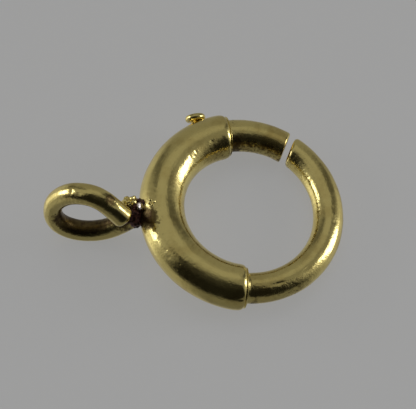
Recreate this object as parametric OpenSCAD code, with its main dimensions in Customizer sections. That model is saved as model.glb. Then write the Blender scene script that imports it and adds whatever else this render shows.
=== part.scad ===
// Spring ring clasp for a necklace or bracelet chain, lying at rest.
// Every piece is drawn on a flat ring first: its centre is the origin, the eye points to -X
// and the tongue side is +Y. Angles run anticlockwise from +X. at_rest() then leans the whole
// clasp on its eye and its arm, as it lies on a table with +Z upwards.

/* [Ring] */
// Radius of the ring's centreline, shared by sleeve, tongue and arm
ring_r = 5.35; // [5:0.05:7]

/* [Sleeve] */
// Outside diameter of the hollow sleeve
sleeve_d = 2.85; // [2.75:0.05:3.2]
// Wall of the sleeve
sleeve_wall = 0.35; // [0.3:0.01:0.42]
// Angle at which the sleeve ends on the tongue side
sleeve_tongue_angle = 96; // [90:1:100]
// Angle at which the sleeve ends on the arm side
sleeve_arm_angle = 265.4; // [255:0.2:275]
// Rounding of the sleeve's rolled ends
lip_round = 0.28; // [0.1:0.02:0.28]

/* [Tongue] */
// Clearance on each side between the tongue and the sleeve's bore
tongue_fit = 0.05; // [0.03:0.005:0.1]
// Angle of the tongue's inner end while the clasp is shut
tongue_tail_angle = 126; // [120:1:135]
// How far the tongue slides back, in degrees about the ring's centre
tongue_travel_angle = 38; // [20:1:40]
// Rounding of the tips of tongue and arm
tip_round = 0.12; // [0.05:0.01:0.2]

/* [Arm] */
// Clearance on each side between the arm and the sleeve's bore
arm_fit = 0.14; // [0.05:0.01:0.2]
// Angle of the arm's tip
arm_tip_angle = 53; // [40:1:56]
// Slant of the arm's tip, which is cut back towards the middle of the ring
arm_slant_angle = 13; // [0:1:20]
// Gap between the tips of arm and tongue while shut
tip_gap = 0.3; // [0.1:0.05:0.5]
// How far the arm reaches into the sleeve, in degrees
arm_grip_angle = 15; // [8:1:25]

/* [Thumb lug] */
// Angle of the lug while the clasp is shut
lug_angle = 113; // [109:0.1:116]
// Diameter of the lug's head
lug_head_d = 1.25; // [0.9:0.05:1.6]
// Thickness of the lug's head
lug_head_h = 0.46; // [0.3:0.02:0.8]
// Rounding of the head's rim
lug_rim = 0.14; // [0.05:0.01:0.14]
// Gap between the head and the sleeve
lug_lift = 0.15; // [0.05:0.01:0.3]
// Diameter of the lug's post
lug_post_d = 0.6; // [0.4:0.05:0.7]
// Depth of the post in the tongue
lug_depth = 1.1; // [0.5:0.1:1.3]
// Gap round the post in the tongue's hole
post_fit = 0.03; // [0.02:0.01:0.05]
// Gap round the post in the sleeve's slot
slot_fit = 0.07; // [0.05:0.01:0.15]

/* [Spring] */
// Diameter of the spring's wire
spring_wire = 0.22; // [0.15:0.01:0.3]
// Number of turns
spring_turns = 22; // [10:1:26]
// Gap between the spring and what surrounds it
spring_fit = 0.12; // [0.08:0.01:0.2]
// Sides of the spring's wire
spring_sides = 6; // [5:1:8]
// Steps in each turn
spring_steps = 14; // [12:1:20]

/* [Eye] */
// Diameter of the eye's wire
eye_wire = 1.32; // [1:0.02:1.5]
// Radius of the eye's centreline
eye_r = 2.1; // [1.8:0.05:3]
// Distance from the sleeve to the nearest part of that centreline
eye_neck = 1.1; // [0.9:0.05:2]
// How far the eye's centre lies below the ring's plane
eye_drop = 0.12; // [-0.5:0.01:0.5]
// Angle about the ring's normal by which the eye was soldered askew
eye_turn_angle = -10.8; // [-20:0.1:20]
// Angle by which the eye leans sideways
eye_lean_angle = -8.4; // [-20:0.1:20]
// Angle by which the root's half of the loop turns aside
eye_root_splay_angle = 4.6; // [0:0.1:10]
// Angle by which the free half turns the other way, so that its end passes the root
eye_tail_splay_angle = 11; // [0:0.5:16]
// How much wider the free half bows than the root's half
eye_bow = 0.15; // [0:0.05:0.4]
// Angle past the top at which the free end leaves the circle
eye_tail_angle = 28; // [20:1:60]
// Distance from the sleeve to the middle of the free end's face, before it turns aside
tail_gap = 0.78; // [0.7:0.01:1]
// Angle past the bottom at which the root leaves the circle
eye_root_angle = 44; // [30:1:60]
// Rounding of the free end
tail_round = 0.3; // [0.1:0.05:0.4]
// Size of the solder lump round the root
solder_d = 1.5; // [1:0.05:2]
// Height of the lump's middle above the ring's plane
solder_up = 0.2; // [-0.5:0.1:0.5]

/* [Rest] */
// Roll at which the clasp's weight balances over the eye and the arm
lie_roll_angle = -1.3; // [-3:0.1:3]

/* [Hidden] */
$fn = 96;
gold = "#ab9d5c";
worn_gold = "#9a8c50";
steel = "#6f6a5c";
bore_d = sleeve_d - 2 * sleeve_wall;
tongue_d = bore_d - 2 * tongue_fit;
arm_d = bore_d - 2 * arm_fit;
sleeve_out = ring_r + sleeve_d / 2;
// Degrees of ring for one millimetre of its centreline
deg_per_mm = 180 / (PI * ring_r);
tongue_tip_angle = arm_tip_angle + tip_gap * deg_per_mm;
arm_inner_angle = sleeve_arm_angle - arm_grip_angle;
slot_w = lug_post_d + 2 * slot_fit;
// Extra degrees of rod that are cut away again where an end is shaped
spare = 2;
// The arm's slanted end leans further along the ring than its middle
arm_spare = spare + arm_d / 2 * tan(arm_slant_angle) * deg_per_mm;
eye_reach = eye_r + eye_neck;
eye_at = sleeve_out + eye_reach;
eye_low = eye_drop + eye_r * cos(eye_lean_angle) + eye_wire / 2;
// Lean of the clasp when it lies on the lowest points of the eye and the arm
lie_pitch_angle = asin((eye_low - arm_d / 2) / (eye_at + ring_r));

module at_rest() {
    rotate([lie_roll_angle, lie_pitch_angle, 0]) children();
}

// A place on the ring at one angle, with Z pointing outwards along the radius
module on_radius(angle) {
    rotate([0, 0, angle]) rotate([0, 90, 0]) children();
}

// A place on the ring's centreline, with Z along the ring towards larger or smaller angles
module along_ring(angle, forwards = true) {
    rotate([0, 0, angle]) translate([ring_r, 0, 0]) rotate([forwards ? -90 : 90, 0, 0]) children();
}

module bent_rod(from, to, d) {
    rotate([0, 0, from]) rotate_extrude(angle = to - from) translate([ring_r, 0]) circle(d = d);
}

// Cuts a rod off at Z = 0 and rounds the edge that is left with part of a sphere
module end_cutter(d, edge) {
    difference() {
        translate([0, 0, -2 * edge]) cylinder(d = 1.5 * d, h = d);
        intersection() {
            translate([0, 0, -d / 2]) sphere(r = norm([d / 2, d / 2 - edge]));
            translate([0, 0, -d]) cylinder(d = 2 * d, h = d);
        }
    }
}

// Flat round button with a rounded rim
module button(d, h, rim) {
    rotate_extrude() {
        square([d / 2 - rim, h]);
        translate([0, rim]) square([d / 2, h - 2 * rim]);
        for (y = [rim, h - rim]) translate([d / 2 - rim, y]) circle(r = rim);
    }
}

module slot() {
    reach = sleeve_d;
    inner = ring_r + lug_post_d / 2;
    rotate([0, 0, lug_angle]) rotate_extrude(angle = tongue_travel_angle)
        translate([inner, -slot_w / 2]) square([reach, slot_w]);
    for (a = [0, tongue_travel_angle]) on_radius(lug_angle + a) translate([0, 0, inner])
        cylinder(d = slot_w, h = reach);
}

module eye_half(r, from, to) {
    rotate([90, 0, 0]) rotate([0, 0, from]) rotate_extrude(angle = to - from)
        translate([r, 0]) circle(d = eye_wire);
}

// Straight end of the eye's wire, tangent to the circle at one angle
module eye_end(r, angle, forwards) {
    rotate([90, 0, 0]) rotate([0, 0, angle]) translate([r, 0, 0])
        rotate([forwards ? -90 : 90, 0, 0]) children();
}

// Half of the loop, turned about the loop's outermost upright
module splayed(angle) {
    translate([-eye_r, 0, 0]) rotate([0, 0, angle]) translate([eye_r, 0, 0]) children();
}

module eye() {
    tail_angle = 90 - eye_tail_angle;
    root_angle = 270 + eye_root_angle;
    tail_r = eye_r + eye_bow;
    tail_length = (eye_reach - tail_gap - eye_bow - tail_r * cos(tail_angle)) / sin(tail_angle);
    root_length = (eye_reach + sleeve_wall / 2 - eye_r * cos(root_angle)) / -sin(root_angle);
    translate([-eye_at, 0, -eye_drop]) rotate([eye_lean_angle, 0, eye_turn_angle]) {
        splayed(-eye_tail_splay_angle) translate([eye_bow, 0, 0]) difference() {
            union() {
                eye_half(tail_r, tail_angle, 180);
                eye_end(tail_r, tail_angle, false) cylinder(d = eye_wire, h = tail_length + tail_round);
            }
            eye_end(tail_r, tail_angle, false) translate([0, 0, tail_length])
                end_cutter(eye_wire, tail_round);
        }
        splayed(eye_root_splay_angle) {
            eye_half(eye_r, 180, root_angle);
            eye_end(eye_r, root_angle, true) cylinder(d = eye_wire, h = root_length);
        }
    }
}

// Lump of solder that holds the eye's root, with a smaller one along the root
// and one in front of it that closes the loop under its free end
module solder() {
    translate([-sleeve_out, 0, solder_up]) sphere(d = solder_d);
    translate([-sleeve_out - solder_d / 2, 0, solder_up]) sphere(d = solder_d * 0.7);
    translate([-sleeve_out - solder_d / 2, -solder_d / 2, solder_up + solder_d / 3])
        sphere(d = solder_d * 0.8);
}

module sleeve() {
    color(gold) at_rest() difference() {
        union() {
            bent_rod(sleeve_tongue_angle - spare, sleeve_arm_angle + spare, sleeve_d);
            eye();
            solder();
        }
        rotate_extrude() translate([ring_r, 0]) circle(d = bore_d);
        along_ring(sleeve_tongue_angle, false) end_cutter(sleeve_d, lip_round);
        along_ring(sleeve_arm_angle, true) end_cutter(sleeve_d, lip_round);
        slot();
    }
}

module fixed_arm() {
    color(gold) at_rest() difference() {
        bent_rod(arm_inner_angle - 360, arm_tip_angle + arm_spare, arm_d);
        along_ring(arm_tip_angle, true) rotate([0, -arm_slant_angle, 0]) end_cutter(arm_d, tip_round);
    }
}

module tongue() {
    color(worn_gold) at_rest() difference() {
        bent_rod(tongue_tip_angle - spare, tongue_tail_angle, tongue_d);
        along_ring(tongue_tip_angle, false) end_cutter(tongue_d, tip_round);
        on_radius(lug_angle) translate([0, 0, ring_r + tongue_d / 2 - lug_depth - post_fit])
            cylinder(d = lug_post_d + 2 * post_fit, h = sleeve_d);
    }
}

module thumb_lug() {
    foot = ring_r + tongue_d / 2 - lug_depth;
    seat = sleeve_out + lug_lift;
    color(gold) at_rest() on_radius(lug_angle) {
        translate([0, 0, foot]) cylinder(d = lug_post_d, h = seat - foot + lug_head_h / 2);
        translate([0, 0, seat]) button(lug_head_d, lug_head_h, lug_rim);
    }
}

module coil_spring() {
    coil_r = bore_d / 2 - spring_fit - spring_wire / 2;
    margin = (spring_fit + spring_wire / 2) * deg_per_mm;
    from = tongue_tail_angle + margin;
    to = arm_inner_angle - margin;
    count = spring_turns * spring_steps;
    points = [for (i = [0:count], k = [0:spring_sides - 1])
        let (a = from + (to - from) * i / count,
             turn = 360 * i / spring_steps,
             side = 360 * k / spring_sides,
             out = coil_r + spring_wire / 2 * cos(side),
             r = ring_r + out * cos(turn),
             shift = spring_wire / 2 * sin(side))
        [r * cos(a) - shift * sin(a), r * sin(a) + shift * cos(a), out * sin(turn)]];
    walls = [for (i = [0:count - 1], k = [0:spring_sides - 1])
        let (j = (k + 1) % spring_sides, n = spring_sides)
        [i * n + j, i * n + k, (i + 1) * n + k, (i + 1) * n + j]];
    start = [for (k = [0:spring_sides - 1]) k];
    finish = [for (k = [spring_sides - 1:-1:0]) count * spring_sides + k];
    color(steel) at_rest() polyhedron(points, concat([start], walls, [finish]), convexity = 10);
}

sleeve();
fixed_arm();
tongue();
thumb_lug();
coil_spring();
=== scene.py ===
"""Finished look of a spring ring clasp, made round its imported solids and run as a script."""

from math import cos, pi, radians, sin, tan

import bmesh
import bpy
import numpy as np
from bpy.props import FloatProperty, FloatVectorProperty, IntProperty, PointerProperty
from mathutils import Euler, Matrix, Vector, noise


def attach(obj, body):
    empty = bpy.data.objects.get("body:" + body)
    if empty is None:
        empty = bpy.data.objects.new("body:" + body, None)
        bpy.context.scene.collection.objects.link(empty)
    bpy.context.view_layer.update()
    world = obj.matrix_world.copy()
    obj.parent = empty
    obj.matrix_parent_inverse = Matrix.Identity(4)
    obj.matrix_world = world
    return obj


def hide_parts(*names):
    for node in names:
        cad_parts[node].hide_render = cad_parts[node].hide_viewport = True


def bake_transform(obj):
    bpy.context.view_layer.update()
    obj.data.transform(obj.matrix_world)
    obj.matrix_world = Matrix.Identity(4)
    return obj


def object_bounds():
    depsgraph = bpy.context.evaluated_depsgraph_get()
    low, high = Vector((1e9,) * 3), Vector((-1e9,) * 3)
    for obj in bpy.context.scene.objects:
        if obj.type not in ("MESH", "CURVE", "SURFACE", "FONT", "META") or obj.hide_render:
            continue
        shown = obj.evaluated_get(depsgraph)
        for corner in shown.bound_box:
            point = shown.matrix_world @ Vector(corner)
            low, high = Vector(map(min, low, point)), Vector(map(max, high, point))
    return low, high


bl_info = {
    "name": "Spring ring clasp",
    "version": (1, 0, 0),
    "blender": (4, 5, 0),
    "location": "3D View > Sidebar > Clasp",
    "description": "Makes a worn gold spring ring clasp on a plain table",
    "category": "Object",
}

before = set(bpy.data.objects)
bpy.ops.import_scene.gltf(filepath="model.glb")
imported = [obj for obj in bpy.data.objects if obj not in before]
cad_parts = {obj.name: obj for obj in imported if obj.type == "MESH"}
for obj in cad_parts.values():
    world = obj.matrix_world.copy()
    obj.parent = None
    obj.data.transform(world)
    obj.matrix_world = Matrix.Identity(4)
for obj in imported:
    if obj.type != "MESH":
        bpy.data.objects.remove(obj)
CAD_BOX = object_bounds()
MM = 0.001
UP = np.array([0.0, 0.0, 1.0])

# How far the worn arm swells out below the CAD solids, which the table makes room for
SWELL = 0.012 * MM


def linear(code):
    """Linear red, green and blue of an sRGB hex code."""
    parts = [int(code[i:i + 2], 16) / 255 for i in (0, 2, 4)]
    return tuple(p / 12.92 if p <= 0.04045 else ((p + 0.055) / 1.055) ** 2.4 for p in parts)


def length(name, text, millimetres):
    return FloatProperty(name=name, description=text, default=millimetres * MM, unit="LENGTH",
                         precision=5)


def angle(name, text, degrees):
    return FloatProperty(name=name, description=text, default=radians(degrees), subtype="ANGLE")


def colour(name, text, code):
    return FloatVectorProperty(name=name, description=text, default=linear(code), subtype="COLOR",
                               min=0, max=1)


def amount(name, text, value):
    return FloatProperty(name=name, description=text, default=value, min=0)


class ClaspSizes(bpy.types.PropertyGroup):
    ring_r: length("Ring radius", "Radius of the ring's centreline", 5.35)
    ring_oval: length("Ring oval", "How far the worn ring is out of round", 0.045)
    ring_push: length("Ring push", "How far wear has pushed the ring towards the lug's side", 0.035)
    push_angle: angle("Push angle", "Direction in which wear has pushed the ring", 110)
    sleeve_r: length("Sleeve radius", "Outside radius of the hollow sleeve", 1.435)
    bore_r: length("Bore radius", "Inside radius of the sleeve", 1.1)
    sleeve_start: angle("Sleeve start", "Angle of the sleeve's end beside the tongue", 97)
    sleeve_end: angle("Sleeve end", "Angle of the sleeve's end beside the arm", 265.4)
    slot_start: angle("Slot start", "Angle of the lug's post while the clasp is shut", 113)
    slot_length: angle("Slot length", "How far the lug can be drawn back", 38)
    slot_r: length("Slot half width", "Half the width of the lug's slot", 0.37)
    arm_r: length("Arm radius", "Radius of the fixed arm's wire", 0.955)
    arm_tip: angle("Arm tip", "Angle of the arm's tip", 52.6)
    arm_inner: angle("Arm inner end", "Angle of the arm's end inside the sleeve", 250.4)
    arm_slant: angle("Arm slant", "Slant of the arm's tip", 13)
    tongue_r: length("Tongue radius", "Radius of the tongue where it slides in the sleeve", 1.03)
    tongue_tip_r: length("Tongue tip radius", "Radius of the tongue at its worn tip", 1.0)
    tongue_tip: angle("Tongue tip", "Angle of the tongue's tip while the clasp is shut", 56.6)
    tongue_slant: angle("Tongue slant", "Slant of the tongue's tip", 9)
    tongue_tail: angle("Tongue tail", "Angle of the tongue's end inside the sleeve", 126)
    eye_wire_r: length("Eye wire radius", "Radius of the eye's wire", 0.667)
    eye_worn_r: length("Worn eye radius", "Radius of the eye's wire where the chain wore it", 0.585)
    eye_reach: length("Eye reach", "From the sleeve's outside to the middle of the eye", 3.41)
    eye_turn: angle("Eye turn", "Angle by which the eye was soldered askew", -10.8)
    eye_lean: angle("Eye lean", "Angle by which the eye leans sideways", -8.4)
    lug_r: length("Lug radius", "Radius of the thumb lug's head", 0.655)
    lug_post_r: length("Post radius", "Radius of the lug's post", 0.3)
    lug_foot: length("Lug foot", "Distance of the post's foot from the ring's middle", 5.275)
    lug_seat: length("Lug seat", "Distance of the head's underside from the ring's middle", 7.0)
    lug_bend: angle("Lug bend", "Angle by which use has bent the head towards the tongue's tip", -15)
    lug_lift: angle("Lug lift", "Angle by which use has bent the head up", 17)
    lug_head: length("Lug head", "Thickness of the lug's head", 0.46)
    coil_r: length("Coil radius", "Radius of the spring's coil", 0.845)
    coil_wire_r: length("Coil wire", "Radius of the spring's wire", 0.11)
    coil_turns: IntProperty(name="Coil turns", description="Turns of the spring", default=22, min=4)
    lie_roll: angle("Lie roll", "Roll of the clasp as it lies", -1.3)
    lie_pitch: angle("Lie pitch", "Pitch of the clasp as it lies on its eye and its arm", 7.2066)


class ClaspFinish(bpy.types.PropertyGroup):
    gold: colour("Gold", "Polished low carat gold plate", "F0DD8C")
    brass: colour("Brass", "Brass that shows where the plate is worn thin", "CDB56A")
    # This brown paints tarnish, and also the painted shade and painted reflections that the film lays on
    # the gold
    tarnish_and_painted_shade: colour("Tarnish", "Brown film beside the joints", "46301A")
    solder: colour("Solder", "Coppery film on the solder", "7A5246")
    silver: colour("Silver", "Bare silver solder", "E6DACB")
    steel: colour("Steel", "Wire of the spring", "8C8880")
    table: colour("Table", "Opal sheet under the clasp", "6E6D6B")
    glow: colour("Glow", "Light that comes up through the opal sheet", "FFFFFD")
    glow_level: amount("Glow level", "Radiance of the light that comes up through the sheet", 0.275)


class ClaspStage(bpy.types.PropertyGroup):
    azimuth: angle("Azimuth", "Direction of the camera round the clasp", 264.974)
    elevation: angle("Elevation", "Height of the camera above the table", 64.205)
    roll: angle("Roll", "Turn of the camera about its own axis", 0.927)
    distance: length("Distance", "From the camera to the point that it aims at", 105)
    aim: FloatVectorProperty(name="Aim", description="Point that the camera aims at",
                             default=(-2.3344 * MM, 0.5196 * MM, 0.1513 * MM),
                             subtype="TRANSLATION", precision=6)
    lens: FloatProperty(name="Lens", description="Focal length in millimetres", default=144.35, min=10)
    key: amount("Key light", "Radiance of the soft box on the right", 3.3)
    fill: amount("Fill light", "Radiance of the soft box on the left", 2.6)
    top: amount("Table light", "Radiance of the sheet of light over the table", 0.35)
    tent: amount("Tent", "Radiance of the white tent round the table", 0.31)
    backdrop: amount("Backdrop", "Radiance of the plain grey that the camera sees past the table", 0.34)


def sizes():
    return bpy.context.scene.clasp_sizes


def finish():
    return bpy.context.scene.clasp_finish


# Meshes

def lie(points):
    """Moves points of the flat drawing of the ring to where the clasp lies on its eye and its arm."""
    s = sizes()
    turn = np.array(Euler((s.lie_roll, s.lie_pitch, 0)).to_matrix())
    return np.asarray(points) @ turn.T


def on_ring(angles, out, up):
    """Points at angles round the ring, so far outwards from its centreline and up from its plane."""
    s = sizes()
    r = s.ring_r - s.ring_oval * np.cos(2 * angles) + out + s.ring_push * np.cos(angles - s.push_angle)
    return np.stack(np.broadcast_arrays(r * np.cos(angles), r * np.sin(angles), up), axis=-1)


def ramp(values, start, end):
    """0 before start, 1 after end and smooth in between."""
    t = np.clip((np.asarray(values) - start) / (end - start), 0, 1)
    return t * t * (3 - 2 * t)


def wear(points, swell, swell_size, dent, dent_size):
    """How far a worn surface stands in or out at each point: slow swells and smaller dents."""
    slow = [noise.noise(Vector(p) / swell_size) for p in points.reshape(-1, 3)]
    quick = [noise.noise(Vector(p) / dent_size) for p in points.reshape(-1, 3)]
    return (swell * np.array(slow) + dent * np.array(quick)).reshape(points.shape[:-1])


def quads(rows, columns, start=0):
    """Faces between the rows of a grid of points."""
    return [(start + i * columns + j, start + i * columns + j + 1,
             start + (i + 1) * columns + j + 1, start + (i + 1) * columns + j)
            for i in range(rows - 1) for j in range(columns - 1)]


def new_piece(name, points, faces, material, along=None, tarnish_and_painted_shade=None, scuff=None, sharp=50):
    """A closed, smooth shaded mesh in the frame, from points of the flat drawing."""
    points = np.asarray(points).reshape(-1, 3)
    mesh = bpy.data.meshes.new(name)
    mesh.from_pydata(lie(points).tolist(), [], faces)
    if along is not None:
        layer = mesh.uv_layers.new(name="wire")
        corners = np.empty(len(mesh.loops), dtype=np.int32)
        mesh.loops.foreach_get("vertex_index", corners)
        at_corners = np.asarray(along, dtype=np.float32).reshape(-1, 2)[corners]
        layer.data.foreach_set("uv", at_corners.ravel())
    for layer_name, values in (("tarnish_and_painted_shade", tarnish_and_painted_shade), ("scuff", scuff)):
        if values is not None:
            layer = mesh.attributes.new(layer_name, "FLOAT", "POINT")
            layer.data.foreach_set("value", np.asarray(values, dtype=np.float32).ravel())
    work = bmesh.new()
    work.from_mesh(mesh)
    bmesh.ops.remove_doubles(work, verts=work.verts, dist=0.0002 * MM)
    bmesh.ops.dissolve_degenerate(work, edges=work.edges, dist=0.0001 * MM)
    bmesh.ops.recalc_face_normals(work, faces=work.faces)
    work.to_mesh(mesh)
    work.free()
    mesh.shade_smooth()
    mesh.set_sharp_from_angle(angle=radians(sharp))
    mesh.materials.append(material)
    piece = bpy.data.objects.new(name, mesh)
    bpy.context.scene.collection.objects.link(piece)
    return piece


def settle(piece, body, node):
    """The piece rides on its body and stands for its CAD node."""
    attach(piece, body)
    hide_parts(node)


def smooth_path(corners, count):
    """Points of the smooth curve through all the corners."""
    corners = np.asarray(corners, dtype=float)
    last = len(corners) - 1
    system = 4 * np.eye(last + 1) + np.eye(last + 1, k=1) + np.eye(last + 1, k=-1)
    system[0] = system[last] = 0
    system[0, 0] = system[last, last] = 1
    bend = np.zeros_like(corners)
    bend[1:-1] = 6 * (corners[2:] - 2 * corners[1:-1] + corners[:-2])
    bend = np.linalg.solve(system, bend)
    at = np.linspace(0, last, count)
    i = np.minimum(at.astype(int), last - 1)
    t = (at - i)[:, None]
    a, b = corners[i], corners[i + 1]
    ease = ((1 - t) ** 3 - (1 - t)) * bend[i] + (t ** 3 - t) * bend[i + 1]
    return a * (1 - t) + b * t + ease / 6


def wire_rows(total, radius, first_round, last_round, step):
    """Distances along a wire and its radius there, with rounded and closed ends."""
    steps = 9
    turn = np.linspace(0, pi / 2, steps)
    head = first_round * (1 - np.cos(turn))
    tail = total - last_round * (1 - np.cos(turn))[::-1]
    body = np.linspace(first_round, total - last_round, max(4, int(total / step)))
    at = np.concatenate([[0, 0], head, body[1:-1], tail, [total, total]])
    r = radius(at)
    r[2:2 + steps] -= first_round * (1 - np.sin(turn))
    r[-2 - steps:-2] -= last_round * (1 - np.sin(turn))[::-1]
    r[1] = 0.5 * r[2]
    r[-2] = 0.5 * r[-3]
    r[0] = r[-1] = 0
    return at, r


def wire(name, path, level, radius, material, rounds, wear_depth, tarnish_and_painted_shade, scuff, marks=(), slant=0.0,
         columns=128):
    """A round wire swept along a path, whose sides keep to one level direction. Rounds are the radii of
    its two ends in millimetres, and wear_depth the height of its swells and of its dents."""
    gaps = np.linalg.norm(np.diff(path, axis=0), axis=1)
    far = np.concatenate([[0], np.cumsum(gaps)])
    at, r = wire_rows(far[-1], radius, rounds[0] * MM, rounds[1] * MM, step=0.07 * MM)
    centre = np.stack([np.interp(at, far, path[:, k]) for k in range(3)], axis=-1)
    ahead = np.gradient(path, axis=0)
    ahead = np.stack([np.interp(at, far, ahead[:, k]) for k in range(3)], axis=-1)
    ahead /= np.linalg.norm(ahead, axis=1)[:, None]
    side = np.cross(ahead, level)
    side /= np.linalg.norm(side, axis=1)[:, None]
    above = np.cross(side, ahead)
    turn = np.linspace(0, 2 * pi, columns + 1)
    out = side[:, None] * np.cos(turn)[None, :, None] + above[:, None] * np.sin(turn)[None, :, None]
    points = centre[:, None] + out * r[:, None, None]

    # The slant of the first end dies out along the wire
    fade = 1 - ramp(at, 0.1 * MM, 2.2 * MM)
    points += ahead[:, None] * (tan(slant) * fade * r)[:, None, None] * np.cos(turn)[None, :, None]

    # Swells, dents and marks stay off the rounded ends
    near_end, clear = 0.1 * MM, 0.5 * MM
    grip = np.minimum(ramp(at, near_end, clear), ramp(far[-1] - at, near_end, clear))[:, None]
    depth = wear(points, wear_depth[0] * MM, 1.3 * MM, wear_depth[1] * MM, 0.45 * MM)
    depth[:, -1] = depth[:, 0]
    for mark in marks:
        reach = (at[:, None] / MM - mark["at"]) / mark["long"]
        across = (np.degrees(turn)[None, :] - mark["side"]) / mark["wide"]
        depth -= mark["deep"] * MM * np.exp(-reach ** 2 - across ** 2)
    points += out * (depth * grip)[:, :, None]

    around = turn[None, :] * np.max(r)
    along = np.stack(np.broadcast_arrays(at[:, None] / MM, around / MM), axis=-1)
    faces = quads(len(at), columns + 1)
    return new_piece(name, points, faces, material, along, tarnish_and_painted_shade(points), scuff(points))


def turned(rows, pivot, axis, angles):
    """Rows of points turned about an axis through the pivot, each row by its own angle."""
    reach = rows - pivot
    cosine, sine = np.cos(angles)[:, None, None], np.sin(angles)[:, None, None]
    kept = axis * (reach @ axis)[..., None]
    return pivot + reach * cosine + np.cross(axis, reach) * sine + kept * (1 - cosine)


def near(points, place, reach):
    """1 at a place, fading to 0 at about twice the reach."""
    return np.exp(-(np.linalg.norm(points - place, axis=-1) / reach) ** 2)


# Materials

def add_node(tree, kind, settings=None, inputs=None):
    """Adds a node with its settings; each input takes a value or the socket that feeds it."""
    made = tree.nodes.new(kind)
    for key, value in (settings or {}).items():
        setattr(made, key, value)
    for key, value in (inputs or {}).items():
        if isinstance(value, bpy.types.NodeSocket):
            tree.links.new(value, made.inputs[key])
        else:
            made.inputs[key].default_value = value
    return made


def new_material(name):
    """An empty material, its node tree and its shader."""
    material = bpy.data.materials.new(name)
    material.use_nodes = True
    tree = material.node_tree
    tree.nodes.clear()
    shader = add_node(tree, "ShaderNodeBsdfPrincipled")
    add_node(tree, "ShaderNodeOutputMaterial", {}, {"Surface": shader.outputs["BSDF"]})
    return material, tree, shader


def rgba(values, share=1.0):
    """A colour for a node, at a share of its brightness."""
    return (*[share * v for v in values], 1)


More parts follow.
